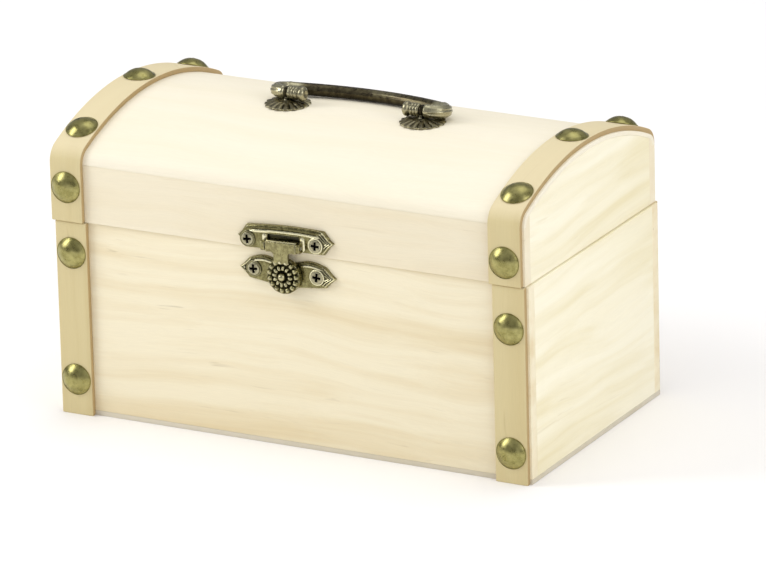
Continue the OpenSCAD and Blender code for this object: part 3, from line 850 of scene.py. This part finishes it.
def clear_of(path, centre, radius):
    """The stretch of a path round its middle that stays outside a circle, in fine steps."""
    parts = 5
    fine = [
        (ax + (bx - ax) * i / parts, ay + (by - ay) * i / parts)
        for (ax, ay), (bx, by) in zip(path, path[1:])
        for i in range(parts)
    ]
    fine.append(path[-1])
    first = last = len(fine) // 2
    while first > 0 and math.dist(fine[first - 1], centre) > radius:
        first -= 1
    while last < len(fine) - 1 and math.dist(fine[last + 1], centre) > radius:
        last += 1
    return fine[first:last + 1]


def end_ridges(levels, screw_x, screw_z):
    """Raised steps that follow each pointed end, as many as fit, and stop short of the screw's seat."""
    made = []
    for side, x in zip((-1, 1), screw_x):
        for i in range(3):
            path = plate_end(side, levels, 0.7 + 0.95 * i, 0.92 - 0.1 * i)
            if math.dist(path[3], (x, screw_z)) > SEAT_CLEAR + 0.1:
                made.append(ridge(clear_of(path, (x, screw_z), SEAT_CLEAR), 0.6, 0.55))
    return made


def screw_seat():
    """The raised ring round a screw's head."""
    return ring(SEAT_R, LATCH_SCREW_R + 0.05, 0, 0.45, 0.2)


def add_details(shape, face, lines, ridges, seats):
    """Outer lines made dark as painted shade, inner lines made bright as painted highlights, half-bright
    ridges, and seats: the left one darkened as painted shade, the right one brightened as a painted
    highlight.
    """
    for outer, inner in lines:
        # Painted shade on the outer line, and a painted highlight on the inner one.
        shape.add(outer, face, wear=-0.45)
        shape.add(inner, face, wear=0.85)
    for form in ridges:
        shape.add(form, face, wear=0.5)
    # Painted shade on the left seat, and a painted highlight on the right one.
    for place, wear in zip(seats, (-0.3, 0.8)):
        shape.add(screw_seat(), place, wear=wear)


def hasp_plate():
    """The upper plate: pointed ends, a rim along the arched top and a window with two ears."""
    low, _, high = HASP_LEVELS
    top = WINDOW_TOP + 1.1
    slit_shadow_low = 4.3
    window = [(WINDOW_HALF, low), (WINDOW_HALF, top), (-WINDOW_HALF, top), (-WINDOW_HALF, low)]
    arch = brow(*RIM_X, high, HASP_BROW)[1:-1]
    outline = plate_end(-1, HASP_LEVELS) + arch + plate_end(1, HASP_LEVELS)[::-1] + window
    at = LEAN @ move(LATCH_X, LID_FRONT_Y, BODY_H) @ FRONT
    shape = Shape().add(plate(outline, PLATE_T), at, wear=-0.15)
    # A thin sheet made near black behind the window's slit: a painted shadow where the wood behind would lie
    # in deep shade.
    slit_shadow_sheet = plate(rounded_box(-WINDOW_HALF - 0.3, WINDOW_HALF + 0.3, slit_shadow_low, top + 0.4, 0.2), 0.3, soft=0.1)
    shape.add(slit_shadow_sheet, at, wear=-0.9)

    face = at @ move(z=PLATE_T)
    # The rim line below is made dark as painted shade, and the line under it bright as a painted highlight,
    # in add_details.
    rim = ridge(brow(*RIM_X, high - 0.85, HASP_BROW), 1.7, RIM_T - PLATE_T)
    highlight_line = ridge(brow(RIM_X[0] + 1, RIM_X[1] - 1, high - 2.35, HASP_BROW), 1.2, 0.35)
    add_details(shape, face, [(rim, highlight_line)], end_ridges(HASP_LEVELS, HASP_SCREW_X, HASP_SCREW_Z - BODY_H),
                HASP_SCREWS)
    for x in (-WINDOW_HALF - 1.2, WINDOW_HALF + 1.2):
        side_band = [(x, top + (low + 0.4 - top) * i / 8) for i in range(9)]
        shape.add(ridge(side_band, 1.7, 0.3), face, wear=0.7)
    ear = plate(rounded_box(-EAR_R, EAR_R, -EAR_R, LID_FRONT_Y - PIN_Y, 0.7), EAR_W,
                [circle(LATCH_PIN_R + 0.03)])
    for x in (-WINDOW_HALF - EAR_W, WINDOW_HALF):
        shape.add(ear, LEAN @ move(LATCH_X + x, PIN_Y, PIN_Z) @ ALONG_X)
    return shape.piece("hasp_plate", BRONZE, "lid", "hasp_plate")


def keeper_plate():
    """The lower plate: pointed ends, a brow over each screw and a round belly round the stud."""
    low, _, high = KEEPER_LEVELS
    centre_x, centre_z = MEDALLION_X - LATCH_X, MEDALLION_Z - BODY_H
    sag = low - KEEPER_SAG
    start = math.degrees(math.asin((sag - centre_z) / BELLY_R))
    belly = arc(centre_x, centre_z, BELLY_R, start, -180 - start, 14)
    spans = (RIM_X[0], -KEEPER_BROW_START), (KEEPER_BROW_START, RIM_X[1])
    arches = [brow(*span, high, KEEPER_BROW) for span in spans]
    outline = plate_end(-1, KEEPER_LEVELS) + arches[0][1:-1] + arches[1][1:-1]
    outline += plate_end(1, KEEPER_LEVELS)[::-1] + belly
    at = move(LATCH_X, -HALF_D, BODY_H) @ FRONT
    shape = Shape().add(plate(outline, PLATE_T), at, wear=-0.15)

    # Each brow has an outer line, which add_details darkens as painted shade, and an inner one, which it
    # brightens as a painted highlight.
    lines = []
    for span in spans:
        outer = brow(*span, high - 0.6, KEEPER_BROW)
        inner = brow(*span, high - 1.65, KEEPER_BROW)
        keep = slice(2, -1) if span[0] > 0 else slice(1, -2)
        lines.append((ridge(outer[keep], 1.1, 0.7), ridge(inner[keep][1:-1], 0.9, 0.35)))
    add_details(shape, at @ move(z=PLATE_T), lines,
                end_ridges(KEEPER_LEVELS, KEEPER_SCREW_X, KEEPER_SCREW_Z - BODY_H), KEEPER_SCREWS)
    return shape.piece("keeper_plate", BRONZE, "body", "keeper_plate")


def medallion():
    """The flower at the end of the hasp: a disc, two rings of petals and a ball, hollow behind."""
    outer_n, inner_n = 15, 12
    edge = 0.25
    valley = 4.05  # the radius between the two rings of petals
    profile = [(0, 1.4), (1.9, 1.4), (1.9, 0.12), (2.05, 0)]
    profile += arc(MEDALLION_R - edge, edge, edge, -90, 0, 3)
    profile += [(MEDALLION_R, 1.75), (6.12, 2.0), (5.98, 2.3), (5.75, 2.55), (5.4, 2.72), (4.95, 2.74)]
    profile += [(4.55, 2.6), (4.25, 2.3), (4.1, 2.0), (3.92, 2.2), (3.7, 2.65), (3.35, 2.95), (2.9, 3.0)]
    profile += [(2.45, 2.85), (2.1, 2.5), (1.9, 2.1), (1.6, 1.9), (1.35, 2.1)]
    profile += arc(0, MEDALLION_T, 1.3, -15, 90, 9)[:-1] + [(0, MEDALLION_T + 1.3)]

    def petals(angle, r, z):
        if z < 1.98 or r < 1.7:
            return r, z
        outer = r > valley
        lobe = abs(math.cos(angle * outer_n / 2)) if outer else abs(math.cos(angle * inner_n / 2 + 0.8))
        low, high = (4.1, 5.8) if outer else (1.9, 3.6)
        out = smooth(r, low, high)
        crease = (1 - lobe ** 0.6) * (0.4 + 0.6 * out)
        return r - 0.6 * (1 - lobe) * out, max(z - 1.1 * crease, 1.9)

    return lathe(profile, 360, petals)


def petal_wear(point):
    """Bright on the tops of the petals and the ball, black in the creases between them."""
    x, y, z = point
    if z < 1.85 or math.hypot(x, y) > MEDALLION_R - 0.1:
        return 0.0
    return 0.4 * smooth(z, 2.45, 2.75) - 0.85 * (1 - smooth(z, 1.95, 2.5))


def hasp():
    """A T-shaped front plate, a round bar behind its top that turns on the pin, and the medallion."""
    front, back = 0.2 - NECK_T, BARREL_R - 0.05
    bar = plate(rounded_box(-BARREL_R, BARREL_R, front, back, 0.85, 6), 2 * HASP_HALF,
                [circle(LATCH_PIN_R + 0.05)], 0.2)
    on_pin = move(LATCH_X, PIN_Y, PIN_Z) @ turn(-LATCH_LEAN, "Y")
    shape = Shape().add(bar, on_pin @ move(-HASP_HALF) @ ALONG_X)
    foot = MEDALLION_R - MEDALLION_DROP - 1.5
    half = [(HASP_HALF, 1.65), (HASP_HALF, -1.8), (3.6, -1.8), (3.1, -2.0), (2.8, -2.5), (NECK_HALF, -3.2)]
    half += [(NECK_HALF, foot + 0.8), (2.9, foot)]
    outline = half + [(-x, z) for x, z in reversed(half)]
    shape.add(plate(outline, NECK_T, soft=0.2), on_pin @ move(y=-0.2) @ FRONT, wear=0.05)
    shape.add(medallion(), on_pin @ move(0, MEDALLION_BACK_Y - PIN_Y, -MEDALLION_DROP) @ FRONT,
              wear=petal_wear)
    return shape.piece("hasp", BRONZE, "hasp", "hasp", sharp=60)


def keeper_stud():
    """A round-headed stud with a waist, for the hollow behind the medallion."""
    profile = [(0, -SCREW_DEPTH), (SMALL_SHANK_R, 0.5 - SCREW_DEPTH), (SMALL_SHANK_R, PLATE_T)]
    profile += [(1.4, PLATE_T + 0.15), (1.15, PLATE_T + 0.45), (1.2, PLATE_T + 0.7)]
    profile += arc(0.9, PLATE_T + 0.9, 0.5, -30, 90, 6) + [(0, PLATE_T + 1.4)]
    at = move(MEDALLION_X, -HALF_D, MEDALLION_Z) @ FRONT
    return Shape().add(lathe(profile), at).piece("keeper_stud", BRONZE, "body", "keeper_stud")


def hasp_pin():
    ends = WINDOW_HALF + EAR_W
    at = LEAN @ move(LATCH_X, PIN_Y, PIN_Z) @ ALONG_X
    return Shape().add(rod(LATCH_PIN_R, -ends, ends), at).piece("hasp_pin", STEEL, "lid", "hasp_pin")


hasp_plate()
keeper_plate()
hasp()
keeper_stud()
hasp_pin()


# ---- Handle ----

def rosette():
    """A daisy disc: a domed centre, rays out to a scalloped rim, and a bore for the post."""
    rays = 16
    bore = POST_R + 0.05
    middle = 3.2
    profile = [(bore, 0.0), (ROSETTE_R - 0.2, 0.0), (ROSETTE_R, 0.12), (ROSETTE_R, 0.4)]
    steps = 24
    for i in range(steps + 1):
        r = ROSETTE_R - 0.1 - (ROSETTE_R - 0.1 - middle) * i / steps
        profile.append((r, 0.5 + 1.1 * (1 - ((r - middle) / (ROSETTE_R - middle)) ** 1.3)))
    profile += [(3.05, 1.5), (2.9, 1.62), (2.5, 1.72), (bore + 0.1, 1.76), (bore, 1.7)]

    def daisy(angle, r, z):
        if r < middle - 0.1:
            return r, z
        lobe = abs(math.cos(angle * rays / 2))
        r2 = r - 0.6 * (1 - lobe ** 0.7) * smooth(r, 6.2, ROSETTE_R)
        if z < 0.2:
            return r2, z
        groove = 0.8 * (1 - lobe ** 0.6) * smooth(r, middle, 5.5)
        return r2, max(z - groove, 0.22)

    return lathe(profile, 256, daisy)


def handle_post():
    """A threaded shank, a foot on the rosette, a neck and the thin eye that holds the journal."""
    nut_top = -SHEET_T - SHEET_CLEAR - WASHER_T
    end = nut_top - NUT_T - 0.5
    pitch = 0.44
    turns = round((nut_top + 0.3 - end) / pitch)
    shank = [(0, end), (POST_R - 0.3, end)]
    for i in range(turns):
        shank += [(POST_R, end + 0.2 + pitch * i), (POST_R - 0.18, end + 0.2 + pitch * (i + 0.5))]
    foot = ROSETTE_H + 0.15
    shank += [(POST_R, end + 0.2 + pitch * turns), (POST_R, foot)]
    shank += [(2.4, foot), (2.2, foot + 0.12), (0, foot + 0.12)]
    half = [(2.1, foot), (1.6, foot + 0.5), (1.4, PIVOT_H - 1.3)]
    neck = half + [(-y, z) for y, z in reversed(half)]
    form = Shape().add(lathe(shank))
    form.add(plate(neck, EYE_T, soft=0.2), move(-EYE_T / 2) @ turn(90, "Z") @ turn(90, "X"))
    form.add(ring(EYE_R, EYE_BORE, -EYE_T / 2, EYE_T / 2, 0.3), move(z=PIVOT_H) @ ALONG_X)
    return form.points, form.faces


def bail_cap():
    """From the eye inward: a ridged collar, a neck and a dished knob, with the end of the bore closed."""
    bore = JOURNAL_R + 0.03
    depth = CAP_L - CAP_END_T
    profile = [(0, depth), (bore, depth), (bore, 0.0), (2.1, 0.0)]
    for i in range(3):
        start = 0.12 + 1.08 * i
        profile += [(2.02, start), (2.26, start + 0.28), (2.3, start + 0.54), (2.26, start + 0.8)]
    profile += [(2.02, 3.4), (1.85, 3.5), (1.8, 3.7), (1.9, 3.9), (2.25, 4.1), (2.5, 4.45), (2.6, 4.95)]
    profile += [(2.52, 5.45), (2.25, 5.88), (1.85, 6.18), (1.4, CAP_L), (1.05, 6.2), (0.6, 5.9), (0, 5.8)]
    return lathe(profile, 56)


def bail_half():
    """Stations of the bail from the tip of a journal to the middle of the grip, in its own plane.

    Each is (u, v, angle of travel, radius, depth of the ribs, depth of the facets)."""
    shoulder = POST_X + EYE_T / 2 + SIDE_GAP
    journal_end = shoulder + FERRULE_L
    tip = POST_X - EYE_T / 2 - SIDE_GAP - CAP_L + CAP_END_T + 0.1
    over_elbow = BAIL_REACH - ELBOW_R
    bow_r = (journal_end ** 2 + over_elbow ** 2 - ELBOW_R ** 2) / (2 * (over_elbow - ELBOW_R))
    bow_cy = BAIL_REACH - bow_r
    bow_start = math.atan2(ELBOW_R - bow_cy, journal_end)
    bead = 0.15
    straight = [(tip, 0.9), (tip + 0.2, JOURNAL_R), (shoulder - 0.02, JOURNAL_R), (shoulder, 1.9)]
    straight += [(journal_end - 0.02, BAIL_R + 0.1), (journal_end + 0.15, BAIL_R + bead)]
    stations = [(u, 0.0, 0.0, r, 0.0, 0.0) for u, r in straight]
    elbow_steps = 36
    for i in range(1, elbow_steps + 1):
        t = i / elbow_steps
        a = (math.pi / 2 + bow_start) * t - math.pi / 2
        ribs = smooth(t, 0.05, 0.12) * (1 - smooth(t, 0.86, 0.93))
        radius = BAIL_R + 0.1 * math.sin(math.pi * t) + bead * max(0.0, 1 - ((t - 1) / 0.05) ** 2)
        u, v = journal_end + ELBOW_R * math.cos(a), ELBOW_R + ELBOW_R * math.sin(a)
        stations.append((u, v, a + math.pi / 2, radius, 0.3 * ribs, 0.0))
    bow_steps = 60
    for i in range(1, bow_steps + 1):
        a = bow_start + (math.pi / 2 - bow_start) * i / bow_steps
        length = bow_r * (a - bow_start)
        radius = BAIL_R + bead * max(0.0, 1 - (length / 0.6) ** 2)
        u, v = bow_r * math.cos(a), bow_cy + bow_r * math.sin(a)
        stations.append((u, v, a + math.pi / 2, radius, 0.0, 0.06 * smooth(length, 0.8, 3.0)))
    return stations


def bail():
    """Journals, ribbed elbows and a faceted bow-shaped grip."""
    half = bail_half()
    path = half + [(-u, v, -a, r, ribs, facets) for u, v, a, r, ribs, facets in reversed(half[:-1])]
    segments = 64
    points, faces = [], []
    for u, v, a, r, ribs, facets in path:
        for k in range(segments):
            phi = TURN * k / segments
            out = r - ribs * (1 - abs(math.cos(phi * 5))) - facets * abs(math.sin(phi * 6))
            points.append((u - math.sin(a) * out * math.cos(phi), v + math.cos(a) * out * math.cos(phi),
                           out * math.sin(phi)))
    last = (len(path) - 1) * segments
    for low in range(0, last, segments):
        for k in range(segments):
            j = (k + 1) % segments
            faces.append((low + k, low + j, low + segments + j, low + segments + k))
    faces.append(list(range(segments)))
    faces.append(list(range(last, last + segments)))
    return points, faces


def bail_wear_and_light(point):
    """Bright at the elbows, a painted highlight on top a little right of the middle, and painted shade
    underneath.
    """
    x, _, z = point
    elbow = smooth(abs(x), 23, 27)
    # A painted highlight on top, a little right of the middle.
    top_highlight = 0.3 * (1 - smooth(abs(x - 4), 3, 13)) * smooth(z, 0.2, 1.2)
    # Painted shade: darker underneath.
    under = 0.55 * smooth(-z, -0.6, 1.4)
    return 0.45 * elbow + (1 - elbow) * (top_highlight - under - 0.2)


def handle():
    posts = {side: move(HANDLE_X + side * POST_X, HANDLE_Y, CROWN_Z) for side in (-1, 1)}
    top = -SHEET_T - SHEET_CLEAR
    washer = ring(WASHER_R, POST_R + 0.05, top - WASHER_T, top)
    nut = plate(circle(NUT_R, count=6), NUT_T, [circle(POST_R + 0.03)], 0.2)
    under = [place @ move(z=top - WASHER_T - NUT_T) for place in posts.values()]
    Shape().add(washer, *posts.values()).piece("handle_washers", STEEL, "lid", "handle_washers")
    Shape().add(nut, *under).piece("handle_nuts", STEEL, "lid", "handle_nuts")

    pivot_z = CROWN_Z + PIVOT_H
    rest_y = HANDLE_Y + BAIL_REACH - LID_Y
    rest_z = CROWN_CZ + math.sqrt(CROWN_R ** 2 - rest_y ** 2) + BAIL_R + BAIL_LIFT
    rest_angle = math.degrees(math.asin((rest_z - pivot_z) / BAIL_REACH))
    plane = move(HANDLE_X, HANDLE_Y, pivot_z) @ turn(rest_angle, "X")
    Shape().add(bail(), plane, wear=bail_wear_and_light).piece(
        "handle_bail", DARK_BRONZE, "bail", "handle_bail", sharp=60)
    for side, word in SIDES:
        inward = plane @ move(side * (POST_X - EYE_T / 2 - SIDE_GAP)) @ turn(-side * 90, "Y")
        rosette_name, post_name, cap_name = f"{word}_rosette", f"{word}_handle_post", f"{word}_bail_cap"
        Shape().add(rosette(), posts[side], wear=0.12).piece(
            rosette_name, DARK_BRONZE, "lid", rosette_name, sharp=60)
        # The post is made dark as painted shade, for its eye, which lies in shade between the bail's ferrule
        # and collar.
        Shape().add(handle_post(), posts[side], wear=-0.7).piece(
            post_name, DARK_BRONZE, "lid", post_name)
        Shape().add(bail_cap(), inward, wear=0.35).piece(
            cap_name, DARK_BRONZE, "bail", cap_name)


handle()


# ---- Hinges ----

def hinge_leaf(side, word, body):
    """A leaf with round corners and its knuckles: the lid's in the middle, the body's at the sides."""
    up = 1 if body == "lid" else -1
    third = LEAF_W / 6
    if up > 0:
        spans = [(-third + KNUCKLE_GAP / 2, third - KNUCKLE_GAP / 2)]
    else:
        spans = [(-LEAF_W / 2, -third - KNUCKLE_GAP / 2), (third + KNUCKLE_GAP / 2, LEAF_W / 2)]
    bore = HINGE_PIN_R + (0.05 if up > 0 else 0.03)
    low, high = sorted((up * LEAF_CLEAR, up * LEAF_H))
    holes = [circle(SMALL_SHANK_R + 0.03, x, up * LEAF_SCREW_Z) for x in (-LEAF_SCREW_X, LEAF_SCREW_X)]
    leaf = plate(rounded_box(-LEAF_W / 2, LEAF_W / 2, low, high, 1.0), LEAF_T, holes)
    at = move(side * HINGE_X, HALF_D, BODY_H)
    shape = Shape().add(leaf, at @ move(y=LEAF_T) @ FRONT)
    for x0, x1 in spans:
        edge = LID_GAP if up > 0 else 0
        z0, z1 = sorted((up * edge, up * (LEAF_CLEAR + 0.4)))
        shape.add(plate(rounded_box(x0, x1, z0, z1, 0.1), LEAF_T, soft=0.08), at @ move(y=LEAF_T) @ FRONT)
        shape.add(ring(KNUCKLE_R, bore, x0, x1, 0.15), move(side * HINGE_X, HINGE_Y, BODY_H) @ ALONG_X)
    name = f"{body}_hinge_leaf_{word}"
    return shape.piece(name, BRONZE, body, name)


for side, word in SIDES:
    hinge_leaf(side, word, "lid")
    hinge_leaf(side, word, "body")
    pin = rod(HINGE_PIN_R, -LEAF_W / 2, LEAF_W / 2, 0.2)
    Shape().add(pin, move(side * HINGE_X, HINGE_Y, BODY_H) @ ALONG_X).piece(
        f"hinge_pin_{word}", STEEL, "body", f"hinge_pin_{word}")


# ---- Stage, light and camera ----

def stage():
    """A pale floor that fades to plain white away from the object."""
    paint = Finish("floor_white")
    cloud = paint.noise(paint.sized(300, 300, 300), detail=1)
    distance = paint.node("ShaderNodeVectorMath", operation="LENGTH")
    paint.feed(distance, {0: paint.coords["Object"]})
    paint.feed(paint.shader, {
        "Base Color": paint.mix(cloud, srgb(250, 248, 248), srgb(253, 252, 252)),
        "Roughness": 0.9,
        "Specular IOR Level": 0.1,
        "Emission Color": (1, 1, 1, 1),
        "Emission Strength": paint.span(distance.outputs["Value"], 0.6, 4, 0, 0.5),
    })
    reach = 8
    mesh = bpy.data.meshes.new("floor")
    corners = [(-reach, -reach, 0), (reach, -reach, 0), (reach, reach, 0), (-reach, reach, 0)]
    mesh.from_pydata(corners, [], [(0, 1, 2, 3)])
    mesh.materials.append(paint.material)
    floor = linked("floor", mesh)


def softbox(name, place, width, height, power):
    """A white area light at a place in metres, turned towards the middle of the box."""
    middle = Vector((0, 0, 0.05))
    data = bpy.data.lights.new(name, "AREA")
    data.shape = "RECTANGLE"
    data.size, data.size_y = width, height
    data.energy = power
    light = linked(name, data)
    light.location = place
    light.rotation_mode = "QUATERNION"
    light.rotation_quaternion = (middle - Vector(place)).to_track_quat("-Z", "Y")


def surroundings():
    """White where the camera looks past the floor. Surfaces are lit by a studio that is bright above,
    and metal mirrors a darker one, in which only the soft boxes and the floor are bright."""
    world = bpy.data.worlds.new("studio")
    bpy.context.scene.world = world
    studio = Nodes(world)
    studio.tree.nodes.clear()
    path = studio.node("ShaderNodeLightPath").outputs
    where = studio.node("ShaderNodeTexCoord").outputs["Generated"]
    split = studio.feed(studio.node("ShaderNodeSeparateXYZ"), {"Vector": where}).outputs

    def plain(colour):
        return studio.feed(studio.node("ShaderNodeBackground"), {"Color": colour}).outputs["Background"]

    def sky(low, high):
        ramp = studio.feed(studio.node("ShaderNodeValToRGB"), {"Fac": split["Z"]})
        bottom, top = ramp.color_ramp.elements
        bottom.color = (low, low, low * 1.03, 1)
        top.position = 0.75
        top.color = (high, high, high, 1)
        return plain(ramp.outputs["Color"])

    def choose(ray, otherwise, chosen):
        mixed = studio.node("ShaderNodeMixShader")
        return studio.feed(mixed, {"Fac": path[ray], 1: otherwise, 2: chosen}).outputs["Shader"]

    mirrored = choose("Is Glossy Ray", sky(0.30, 0.86), sky(0.22, 0.46))
    seen = choose("Is Camera Ray", mirrored, plain((1, 1, 1, 1)))
    studio.feed(studio.node("ShaderNodeOutputWorld"), {"Surface": seen})


def photograph():
    """The camera at the photograph's angle: its direction, distance and lens were fitted to the box."""
    azimuth, elevation, roll = (math.radians(a) for a in (28.41, 19.05, -1.535))
    distance = 2.6
    target = Vector((0.00942, 0, 0.04297))
    back = Vector((math.sin(azimuth) * math.cos(elevation), -math.cos(azimuth) * math.cos(elevation),
                   math.sin(elevation)))
    data = bpy.data.cameras.new("camera")
    data.lens = 359.5
    data.sensor_width = 36
    data.clip_start, data.clip_end = 0.1, 50
    camera = linked("camera", data)
    camera.rotation_mode = "QUATERNION"
    camera.location = target + back * distance
    level = (-back).to_track_quat("-Z", "Y")
    camera.rotation_quaternion = level @ Matrix.Rotation(roll, 3, "Z").to_quaternion()
    bpy.context.scene.camera = camera


stage()
surroundings()
softbox("key", (-1.15, -0.66, 0.85), 0.5, 0.9, 8.5)
softbox("side_fill", (1.3, -0.35, 0.7), 0.8, 0.8, 4.9)
softbox("top", (0.1, 0.35, 1.4), 0.9, 0.9, 3)
photograph()
bpy.context.scene.view_settings.view_transform = "Standard"
